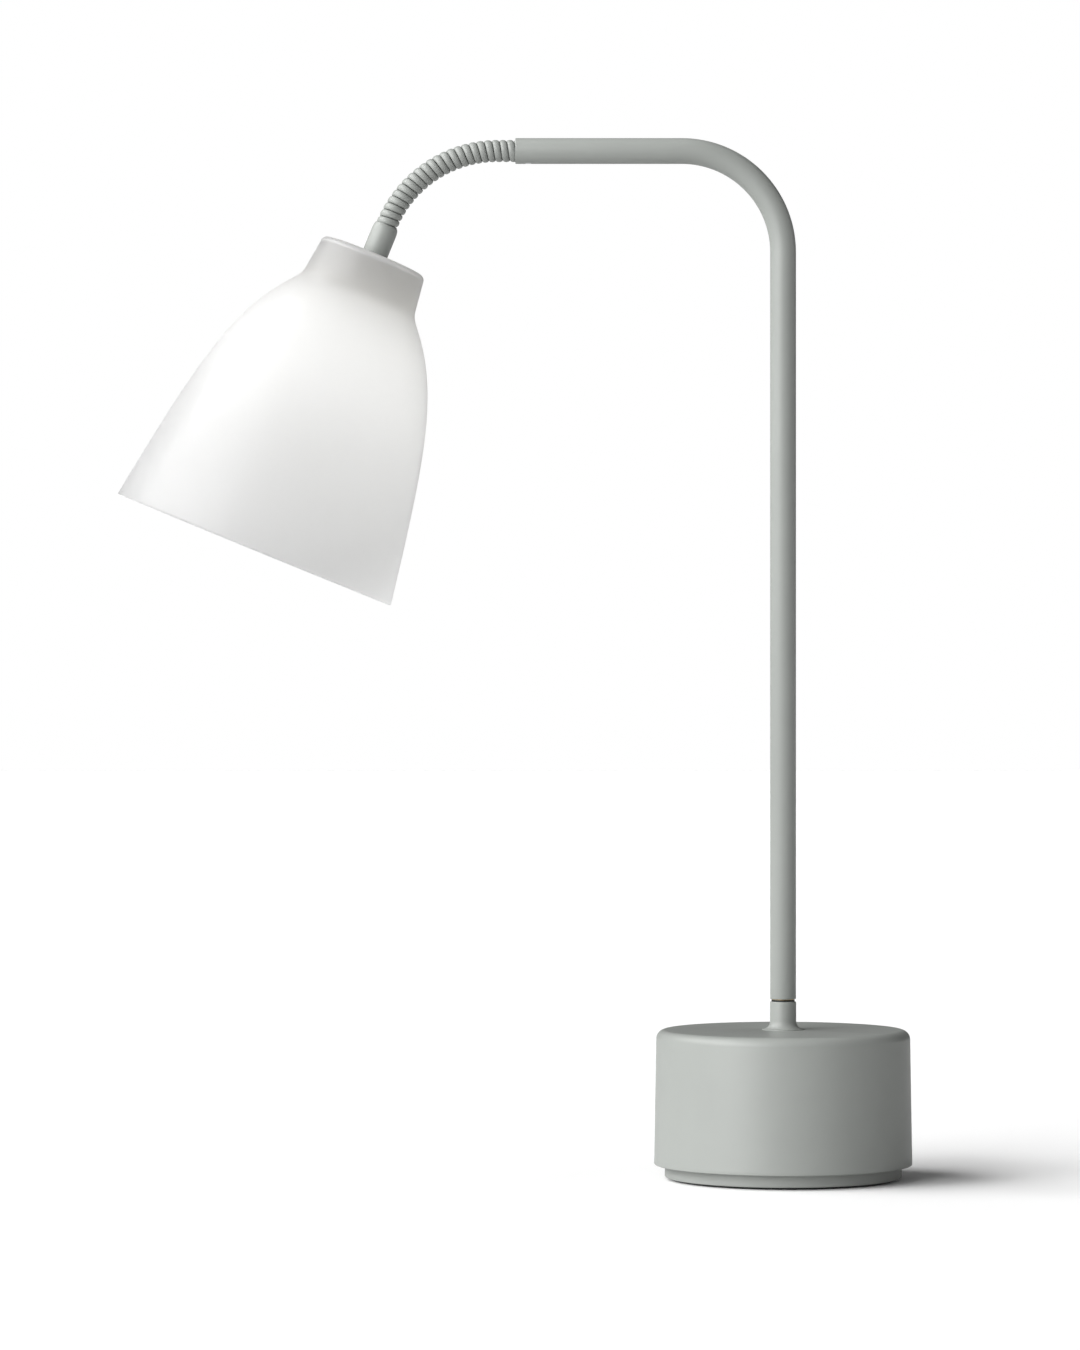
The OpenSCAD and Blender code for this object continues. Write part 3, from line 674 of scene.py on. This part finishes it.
class LAMP_OT_collar(bpy.types.Operator):
    """Make the flared collar and the dark washer that the pole turns on"""

    bl_idname = "lamp.collar"
    bl_label = "Collar"

    def execute(self, context):
        flare = context.scene.lamp_sizes.collar_flare
        low, high = COLLAR_LOW.z, COLLAR_HIGH.z
        lip_radius = COLLAR_HIGH.x
        radius = lip_radius - flare
        lip = 0.4 * MM
        edge = 0.6 * MM
        bore = STEM_RADIUS + 0.05 * MM
        outline = [(bore, low), (lip_radius, low)]
        outline += arc(lip_radius, low + lip + flare, flare, 270, 180, 16)
        outline += arc(radius - edge, high - edge, edge, 0, 90, 6)
        collar = ring("collar", outline + [(bore, high)], 96)
        hand_over(collar, "base", "sage_paint", "pole_collar")

        washer = ring("swivel_washer", [(bore, WASHER_LOW.z), (WASHER_HIGH.x, WASHER_LOW.z),
                                        (WASHER_HIGH.x, WASHER_HIGH.z), (bore, WASHER_HIGH.z)], 96)
        round_edges(washer, 0.15 * MM, 2)
        hand_over(washer, "base", "black_plastic", "thrust_washer")
        return {"FINISHED"}


class LAMP_OT_arm(bpy.types.Operator):
    """Make the bent tube that is both pole and arm"""

    bl_idname = "lamp.arm"
    bl_label = "Arm"

    def execute(self, context):
        sizes = context.scene.lamp_sizes
        bend = sizes.bend_radius
        low = TUBE_LOW.z
        rise = ARM_HEIGHT - bend - low
        clear_selection()
        bpy.ops.mesh.primitive_circle_add(vertices=96, radius=TUBE_RADIUS, location=(0, 0, low))
        tube = new_piece("arm")
        edit()
        bpy.ops.mesh.extrude_region_move(TRANSFORM_OT_translate={"value": (0, 0, rise)})
        bpy.ops.mesh.spin(steps=48, angle=math.pi / 2, center=(-bend, 0, low + rise), axis=(0, 1, 0))
        bpy.ops.mesh.extrude_region_move(TRANSFORM_OT_translate={"value": (ARM_END + bend, 0, 0)})
        leave_edit()
        place(tube, tube.matrix_world.copy())
        close_seams(tube)
        if abs(max(v.co.z for v in tube.data.vertices) - TUBE_HIGH.z) > HOLE_GAP:
            raise RuntimeError("the arm's bend went the wrong way")
        apply_modifier(tube, "SOLIDIFY", thickness=sizes.tube_wall, offset=-1)
        round_edges(tube, 0.35 * MM)
        screw_x = (SET_SCREW_LOW.x + SET_SCREW_HIGH.x) / 2
        screw_radius = (SET_SCREW_HIGH.x - SET_SCREW_LOW.x) / 2 + 0.1 * MM
        combine(tube, [rod("screw_hole", screw_radius, ARM_HEIGHT - TUBE_RADIUS - CUT, ARM_HEIGHT,
                           Matrix.Translation((screw_x, 0, 0)), 32)])
        hand_over(tube, "arm", "sage_paint", "arm_tube")
        return {"FINISHED"}


BACK = Vector((0, -1, 0))  # the back of the straight neck, before it is laid along its path
UNDER = Vector((0, 0, -1))
TURN_STEPS = 64
CREST_STEPS = 12
WIRE_DEPTH = 2.5 * MM


def wind(name, sizes, start, side, turns):
    """Winds a wire round the X axis, from a place along it and on one side. Its ends are closed."""
    half = sizes.bead_width / 2
    bore = sizes.neck_radius - WIRE_DEPTH
    shoulder = sizes.neck_radius - sizes.bead_height
    crest = []
    for i in range(CREST_STEPS + 1):
        angle = math.pi * i / CREST_STEPS
        crest.append((half * math.cos(angle), shoulder + sizes.bead_height * math.sin(angle)))
    outline = crest + [(-half, bore), (half, bore), crest[0]]
    wire = draw_outline(name, [Vector((start + along, 0, 0)) + side * radius for along, radius in outline])
    close_seams(wire)
    steps = round(turns * TURN_STEPS)
    apply_modifier(wire, "SCREW", axis="X", angle=turns * FULL_TURN, screw_offset=turns * sizes.neck_pitch,
                   steps=steps, render_steps=steps, use_smooth_shade=False)
    make_active(wire)
    edit()
    bpy.ops.mesh.fill_holes(sides=0)
    leave_edit()
    close_seams(wire)
    return wire


def copy_of(piece, name, along=0.0):
    """A copy with its own mesh, moved along the X axis."""
    make_active(piece)
    bpy.ops.object.duplicate()
    copy = new_piece(name)
    place(copy, Matrix.Translation((along, 0, 0)))
    return copy


def trim(wire, at, keep_beyond):
    """Grinds a wound wire's end flat, across the axis."""
    make_active(wire)
    edit()
    bpy.ops.mesh.bisect(plane_co=(at, 0, 0), plane_no=(1, 0, 0), use_fill=True,
                        clear_inner=keep_beyond, clear_outer=not keep_beyond)
    leave_edit()


def neck_path(sizes):
    """The neck's centre line as a curve, for the turns to follow."""
    steps = 120
    line = bpy.data.curves.new("neck_path", "CURVE")
    line.dimensions = "3D"
    spline = line.splines.new("POLY")
    spline.points.add(steps)
    for i, point in enumerate(spline.points):
        point.co = (*neck_point(sizes, neck_length(sizes) * i / steps), 1)
    path = bpy.data.objects.new("neck_path", line)
    bpy.context.scene.collection.objects.link(path)
    return path


class LAMP_OT_gooseneck(bpy.types.Operator):
    """Wind the gooseneck, one piece for each of its links"""

    bl_idname = "lamp.gooseneck"
    bl_label = "Gooseneck"

    def execute(self, context):
        sizes = context.scene.lamp_sizes
        check_neck(sizes)
        pitch = sizes.neck_pitch
        path = neck_path(sizes)
        # A link ends where its hinge crosses the wire, so the wire stays whole as the neck bends:
        # the tilt hinges cross it at the back, and the side hinges underneath, a quarter turn on.
        first = wind("turn_01", sizes, -0.75 * pitch, UNDER, 1.75)
        trim(first, 0, True)
        last = wind(f"turn_{NECK_TURNS:02d}", sizes, (NECK_TURNS - 1) * pitch, BACK, 1.5)
        trim(last, neck_length(sizes), False)
        long_link = wind("long_link", sizes, 0, BACK, 1.25)
        short_link = wind("short_link", sizes, 0.25 * pitch, UNDER, 0.75)
        turns = [first]
        for turn in range(2, NECK_TURNS):
            link = long_link if turn % 2 == 0 else short_link
            turns.append(copy_of(link, f"turn_{turn:02d}", (turn - 1) * pitch))
        turns.append(last)
        for number, turn in enumerate(turns, 1):
            node = f"neck_turn_{number:02d}"
            apply_modifier(turn, "CURVE", object=path, deform_axis="POS_X")
            hand_over(turn, frame["nodes"][node]["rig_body"], "sage_paint", node)
        clear_selection()
        for spare in (long_link, short_link, path):
            spare.select_set(True)
        bpy.ops.object.delete()
        return {"FINISHED"}


# ---- Head ----

GASKET = 1 * MM
NIPPLE_RADIUS = 5 * MM
THREAD_GAP = 0.05 * MM


class LAMP_OT_ferrule(bpy.types.Operator):
    """Make the ferrule at the neck's end and the gasket on the glass"""

    bl_idname = "lamp.ferrule"
    bl_label = "Ferrule"

    def execute(self, context):
        sizes = context.scene.lamp_sizes
        radius, low = sizes.ferrule_radius, -sizes.ferrule_length
        mouth = 5.8 * MM
        taper = 5 * MM
        spigot = sizes.neck_radius - 2.6 * MM
        spigot_high = sizes.neck_pitch - 0.5 * MM
        lead_bore = 2.5 * MM
        nipple_high = -6 * MM
        shoulder = [(mouth, 0), (mouth + 0.75 * MM, -0.1 * MM), (radius, -0.4 * taper), (radius, -taper)]
        inner = NIPPLE_RADIUS + THREAD_GAP
        outline = [(lead_bore, nipple_high), (lead_bore, spigot_high), (spigot, spigot_high), (spigot, 0)]
        outline += inset_curve(shoulder, 10, 0)
        outline += [(radius, low), (inner, low), (inner, nipple_high)]
        ferrule = ring("ferrule", outline, 96)
        round_edges(ferrule, 0.3 * MM)
        place(ferrule, head_place(sizes))
        hand_over(ferrule, "head", "sage_paint", "neck_ferrule")

        outer = radius - 0.8 * MM
        gasket = ring("glass_gasket", [(inner, low - GASKET), (outer, low - GASKET),
                                       (outer, low), (inner, low)], 96)
        round_edges(gasket, 0.2 * MM, 2)
        place(gasket, head_place(sizes))
        hand_over(gasket, "head", "silicone", "upper_gasket")
        return {"FINISHED"}


class LAMP_OT_shade(bpy.types.Operator):
    """Make the opal glass shade: a bell that runs through a fillet into a short neck"""

    bl_idname = "lamp.shade"
    bl_label = "Shade"

    def execute(self, context):
        sizes = context.scene.lamp_sizes
        wall, high = sizes.glass, sizes.shade_height
        neck = sizes.shade_neck_radius
        neck_top = neck - 2 * MM
        neck_low = high - 19 * MM
        bell_high = neck_low - 11 * MM
        shoulder = neck + 6.3 * MM
        edge = 3.4 * MM
        pull = 4.5 * MM
        skirt_pull, shoulder_pull = 0.583 * bell_high, 0.191 * bell_high
        skirt_slope, shoulder_slope = 0.155, 0.806
        bell = [(sizes.shade_radius, 0), (sizes.shade_radius - skirt_slope * skirt_pull, skirt_pull),
                (shoulder + shoulder_slope * shoulder_pull, bell_high - shoulder_pull), (shoulder, bell_high)]
        fillet = [(shoulder, bell_high), (shoulder - shoulder_slope * pull, bell_high + pull),
                  (neck + 0.4 * MM, neck_low - pull), (neck, neck_low)]
        hole = NIPPLE_RADIUS + 0.3 * MM

        outside = inset_curve(bell, 36, 0) + inset_curve(fillet, 12, 0)[1:]
        outside += arc(neck_top - edge, high - edge, edge, 0, 90, 10)
        inside = arc(neck_top - edge, high - edge, edge - wall, 90, 0, 4)
        inside += inset_curve(fillet, 12, wall)[::-1] + inset_curve(bell, 36, wall)[-2::-1]
        inside[-1] = (inside[-1][0], 0)
        shade = ring("glass_shade", outside + [(hole, high), (hole, high - wall)] + inside, 192)
        round_edges(shade, 1.2 * MM, 5)
        top = -sizes.ferrule_length - GASKET
        place(shade, head_place(sizes) @ Matrix.Translation((0, 0, top - high)))
        hand_over(shade, "head", "opal_glass", "shade")
        return {"FINISHED"}


# Heights on the head's own axis. It runs down from the neck's end, so they are negative.
CAP_HIGH = -26.5 * MM
CAP_NECK_LOW = -31 * MM
CAP_LOW = -42.5 * MM
HOLDER_LOW = -65.5 * MM
HOLDER_FLOOR = -43.5 * MM
BULB_CAP_HIGH = -46.1 * MM
BULB_CAP_LOW = -65.8 * MM
BULB_CAP_RADIUS = 7 * MM
BULB_NECK_RADIUS = 9 * MM
BULB_CENTRE = -100.6 * MM


def thread(name, radius, low, high, pitch, depth):
    """A rounded screw thread round the Z axis, as a ridge that runs out flat at both ends."""
    turns = (high - low) / pitch - 1
    half = 0.42 * pitch
    ridge = [(radius - depth - 0.2 * MM, -half)]
    ridge += [(radius - depth + depth * math.sin(math.pi * i / 6), -half * math.cos(math.pi * i / 6))
              for i in range(7)]
    ridge += [(radius - depth - 0.2 * MM, half)]
    start = low + pitch / 2
    piece = draw_outline(name, [Vector((r, 0, start + z)) for r, z in ridge + ridge[:1]])
    close_seams(piece)
    steps = round(turns * 48)
    apply_modifier(piece, "SCREW", axis="Z", angle=turns * FULL_TURN, screw_offset=turns * pitch,
                   steps=steps, render_steps=steps, use_smooth_shade=False)
    make_active(piece)
    edit()
    bpy.ops.mesh.fill_holes(sides=0)
    leave_edit()
    close_seams(piece)
    return piece


class LAMP_OT_holder(bpy.types.Operator):
    """Make the lamp holder: cap, ribbed body and threaded shell"""

    bl_idname = "lamp.holder"
    bl_label = "Lamp holder"

    def execute(self, context):
        sizes = context.scene.lamp_sizes
        head = head_place(sizes)
        radius = sizes.holder_radius
        wall = 1.5 * MM
        neck = 7.5 * MM
        bore = NIPPLE_RADIUS + THREAD_GAP
        cap = ring("holder_top", [
            (bore, CAP_NECK_LOW - wall), (radius - wall, CAP_NECK_LOW - wall), (radius - wall, CAP_LOW),
            (radius, CAP_LOW), (radius, CAP_NECK_LOW), (neck, CAP_NECK_LOW), (neck, CAP_HIGH),
            (bore, CAP_HIGH)], 96)
        round_edges(cap, 0.6 * MM, 4)
        grip = []
        for spot in around(24, radius + 0.35 * MM, 0):
            grip.append(rod("groove", 0.7 * MM, CAP_LOW + 1.5 * MM, CAP_NECK_LOW - 3.5 * MM, spot, 12))
        combine(cap, grip)
        place(cap, head)
        hand_over(cap, "head", "cream_plastic", "holder_cap")

        body_radius = radius - 0.5 * MM
        screw_radius = radius - wall - 0.1 * MM
        screw_high = CAP_LOW + 7 * MM
        shell_bore = 8 * MM
        well_low = CAP_LOW + 3 * MM
        body = ring("holder_body_shell", [
            (shell_bore, HOLDER_LOW), (body_radius - 1.5 * MM, HOLDER_LOW),
            (body_radius, HOLDER_LOW + 5 * MM), (body_radius, CAP_LOW),
            (screw_radius, CAP_LOW), (screw_radius, screw_high),
            (shell_bore + CUT, screw_high), (shell_bore + CUT, well_low), (1.5 * MM, well_low),
            (1.5 * MM, HOLDER_FLOOR), (shell_bore, HOLDER_FLOOR)], 96)
        round_edges(body, 0.35 * MM)
        grip = []
        for spot in around(24, body_radius + 0.35 * MM, 0):
            grip.append(rod("groove", 0.7 * MM, HOLDER_LOW + 7 * MM, CAP_LOW - 1.5 * MM, spot, 12))
        combine(body, grip)
        place(body, head)
        hand_over(body, "head", "cream_plastic", "holder_body")

        shell_low, shell_high = HOLDER_LOW + 1.5 * MM, HOLDER_FLOOR - 1.5 * MM
        pitch = 2.82 * MM
        waves = round((shell_high - shell_low) / pitch * 8)
        wave = [(shell_bore - 0.2 * MM - 0.16 * MM * math.cos(FULL_TURN * i / 8),
                 shell_low + (shell_high - shell_low) * i / waves) for i in range(waves + 1)]
        shell = lathe("holder_thread", wave, 96)
        make_active(shell)
        apply_modifier(shell, "SOLIDIFY", thickness=0.12 * MM, offset=0)
        close_seams(shell)
        place(shell, head)
        hand_over(shell, "head", "brass", "holder_shell")
        return {"FINISHED"}


class LAMP_OT_bulb(bpy.types.Operator):
    """Make the bulb: threaded cap, plastic body and milky dome"""

    bl_idname = "lamp.bulb"
    bl_label = "Bulb"

    def execute(self, context):
        head = head_place(context.scene.lamp_sizes)
        radius = context.scene.lamp_sizes.bulb_radius
        pitch = 2.82 * MM
        core = BULB_CAP_RADIUS - 0.45 * MM
        taper_low = BULB_CAP_HIGH - 2 * MM
        cap = lathe("bulb_screw_cap", [
            (0, BULB_CAP_LOW), (BULB_CAP_RADIUS, BULB_CAP_LOW), (BULB_CAP_RADIUS, BULB_CAP_LOW + 2.4 * MM),
            (core, BULB_CAP_LOW + 3 * MM), (core, taper_low), (3.4 * MM, BULB_CAP_HIGH),
            (2.4 * MM, BULB_CAP_HIGH), (2.0 * MM, BULB_CAP_HIGH + 0.5 * MM), (0, BULB_CAP_HIGH + 0.5 * MM)])
        round_edges(cap, 0.15 * MM, 2)
        ridge = thread("ridge", BULB_CAP_RADIUS, BULB_CAP_LOW + 2.6 * MM, taper_low + 0.3 * MM,
                       pitch, 0.45 * MM)
        cap = join([cap, ridge])
        place(cap, head)
        hand_over(cap, "head", "bulb_cap_metal", "bulb_cap")

        seam_angle = 34
        seam = math.radians(seam_angle)
        seam_radius = radius * math.cos(seam)
        seam_height = BULB_CENTRE + radius * math.sin(seam)
        inset = 0.35 * MM
        body_line = [(BULB_NECK_RADIUS, BULB_CAP_LOW - 0.2 * MM),
                     (BULB_NECK_RADIUS + 0.4 * MM, BULB_CAP_LOW - 5 * MM),
                     (seam_radius - 3.0 * MM, seam_height + 4 * MM),
                     (seam_radius - 0.2 * MM, seam_height + inset)]
        socket = seam_radius - 1.2 * MM
        outline = [(0, BULB_CAP_LOW)] + inset_curve(body_line, 16, 0)
        outline += [(socket, seam_height + inset), (socket, seam_height - 2 * MM),
                    (0, seam_height - 2 * MM)]
        body = lathe("bulb_body", outline, 96)
        round_edges(body, 0.25 * MM)
        place(body, head)
        hand_over(body, "head", "bulb_diffuser")

        rim = radius - 1.2 * MM
        dome_line = arc(0, BULB_CENTRE, radius, seam_angle, -90, 40)
        dome_line[-1] = (0, dome_line[-1][1])
        dome_inner = arc(0, BULB_CENTRE, rim, -90, seam_angle - 2, 24)
        dome_inner[0] = (0, dome_inner[0][1])
        dome_line.reverse()
        dome = lathe("bulb_dome", dome_line + dome_inner[::-1], 96)
        place(dome, head)
        hand_over(dome, "head", "bulb_diffuser", "bulb_globe")
        return {"FINISHED"}


# ---- Pieces inside, which keep the frame's shape ----

WIRING = {
    "base_lead": "lead_sheath",
    "arm_lead": "lead_sheath",
    "head_lead": "lead_sheath",
    "terminal_screws": "zinc_steel",
}
FITTINGS = {
    "ballast_weight": ("cast_iron", 1.5),
    "plate_screws": ("zinc_steel", 0.1),
    "ballast_screws": ("zinc_steel", 0.12),
    "terminal_block": ("cream_plastic", 0.3),
    "stem_nut": ("zinc_steel", 0.35),
    "stem_washer": ("zinc_steel", 0.2),
    "swivel_stem": ("zinc_steel", 0.25),
    "tube_bearing": ("brass", 0.15),
    "wave_washer": ("zinc_steel", 0.1),
    "retaining_nut": ("brass", 0.15),
    "stop_pin": ("zinc_steel", 0.15),
    "neck_root": ("zinc_steel", 0.3),
    "neck_set_screw": ("zinc_steel", 0.12),
    "lower_gasket": ("silicone", 0.2),
    "shade_nut": ("brass", 0.3),
    "head_nipple": ("zinc_steel", 0.2),
    "holder_contact": ("brass", 0.1),
}


class LAMP_OT_fittings(bpy.types.Operator):
    """Make the fittings inside from the frame's own shapes, with rounded edges"""

    bl_idname = "lamp.fittings"
    bl_label = "Fittings"

    def execute(self, context):
        for node, (slot, edge) in FITTINGS.items():
            make_active(frame["nodes"][node])
            bpy.ops.object.duplicate()
            fitting = new_piece(f"{node}_fitting")
            del fitting["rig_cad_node"]
            bpy.ops.mesh.customdata_custom_splitnormals_clear()
            close_seams(fitting)
            apply_modifier(fitting, "DECIMATE", decimate_type="DISSOLVE", angle_limit=math.radians(1))
            round_edges(fitting, edge * MM, 2)
            hand_over(fitting, fitting["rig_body"], slot, node)
        return {"FINISHED"}


class LAMP_OT_wiring(bpy.types.Operator):
    """Give the leads and the terminal screws their finishes"""

    bl_idname = "lamp.wiring"
    bl_label = "Wiring"

    def execute(self, context):
        for node, slot in WIRING.items():
            finish = finish_for(slot)
            for material_slot in frame["nodes"][node].material_slots:
                material_slot.material = finish
        return {"FINISHED"}


# ---- Studio ----

EYE = Vector((-0.132, -2.816, 0.2735))
LENS = 138.3  # millimetres, on a 36 mm sensor
LIGHT_SOFTNESS = 50  # degrees
LIGHTS = (  # a name, the side that it comes from, and its strength
    ("key_light", Vector((-0.70, -0.70, 0.30)), 3.5),
    ("top_light", Vector((-0.70, 0.00, 0.70)), 3.05),
    ("fill_light", Vector((1.00, 0.00, 0.30)), 0.35),
)
SURROUNDINGS = 0.08
FLOOR_SEEN = 0.98  # how white the camera sees the floor
FLOOR_BOUNCE = 0.6  # how much of the light it throws up at the lamp


def for_camera(tree, others, camera):
    """A value that differs between the camera's own rays and all others."""
    path = tree.nodes.new("ShaderNodeLightPath")
    level = tree.nodes.new("ShaderNodeMapRange")
    level.inputs["To Min"].default_value = others
    level.inputs["To Max"].default_value = camera
    tree.links.new(path.outputs["Is Camera Ray"], level.inputs["Value"])
    return level.outputs["Result"]


class LAMP_OT_studio(bpy.types.Operator):
    """Set up the floor, the soft light and the camera"""

    bl_idname = "lamp.studio"
    bl_label = "Studio"

    def execute(self, context):
        clear_selection()
        bpy.ops.mesh.primitive_plane_add(size=24, location=(0, 0, 0))
        floor = new_piece("studio_floor")
        paper, tree, shader = new_finish("floor paper", (FLOOR_BOUNCE,) * 3, 0.9)
        tree.links.new(for_camera(tree, FLOOR_BOUNCE, FLOOR_SEEN), shader.inputs["Base Color"])
        vary_roughness(tree, shader, noise(tree, 200), 0.85, 0.95)
        floor.data.materials.append(paper)

        for name, side, strength in LIGHTS:
            bpy.ops.object.light_add(type="SUN", location=side * 2)
            light = context.object
            light.name = name
            light.rotation_euler = (-side).to_track_quat("-Z", "Y").to_euler()
            light.data.angle = math.radians(LIGHT_SOFTNESS)
            light.data.energy = strength

        # The camera sees white behind the lamp. The lamp is lit by a faint, even glow.
        world = bpy.data.worlds.new("studio")
        context.scene.world = world
        world.use_nodes = True
        tree = world.node_tree
        glow = tree.nodes["Background"]
        glow.inputs["Color"].default_value = (1, 1, 1, 1)
        tree.links.new(for_camera(tree, SURROUNDINGS, 1.0), glow.inputs["Strength"])

        bpy.ops.object.camera_add(location=EYE, rotation=(math.pi / 2, 0, 0))
        camera = context.object
        camera.name = "camera"
        camera.data.lens = LENS
        camera.data.sensor_width = 36
        context.scene.camera = camera
        context.scene.view_settings.view_transform = "Standard"
        return {"FINISHED"}


STEPS = (LAMP_OT_studio, LAMP_OT_foot, LAMP_OT_housing, LAMP_OT_inlet, LAMP_OT_collar, LAMP_OT_arm,
         LAMP_OT_gooseneck, LAMP_OT_ferrule, LAMP_OT_shade, LAMP_OT_holder, LAMP_OT_bulb,
         LAMP_OT_fittings, LAMP_OT_wiring)


class LAMP_PT_sidebar(bpy.types.Panel):
    """Lists the lamp's sizes, colours and building steps"""

    bl_idname = "LAMP_PT_sidebar"
    bl_label = "Gooseneck Desk Lamp"
    bl_space_type = "VIEW_3D"
    bl_region_type = "UI"
    bl_category = "Lamp"

    def draw(self, context):
        for step in STEPS:
            self.layout.operator(step.bl_idname)
        for group in (context.scene.lamp_sizes, context.scene.lamp_colours):
            box = self.layout.box()
            for setting in group.__annotations__:
                box.prop(group, setting)


CLASSES = (LampSizes, LampColours, *STEPS, LAMP_PT_sidebar)


def register():
    for entry in CLASSES:
        bpy.utils.register_class(entry)
    bpy.types.Scene.lamp_sizes = PointerProperty(type=LampSizes)
    bpy.types.Scene.lamp_colours = PointerProperty(type=LampColours)


def unregister():
    del bpy.types.Scene.lamp_colours
    del bpy.types.Scene.lamp_sizes
    for entry in reversed(CLASSES):
        bpy.utils.unregister_class(entry)


def main():
    register()
    for step in STEPS:
        group, action = step.bl_idname.split(".")
        getattr(getattr(bpy.ops, group), action)()


if __name__ == "__main__":
    main()
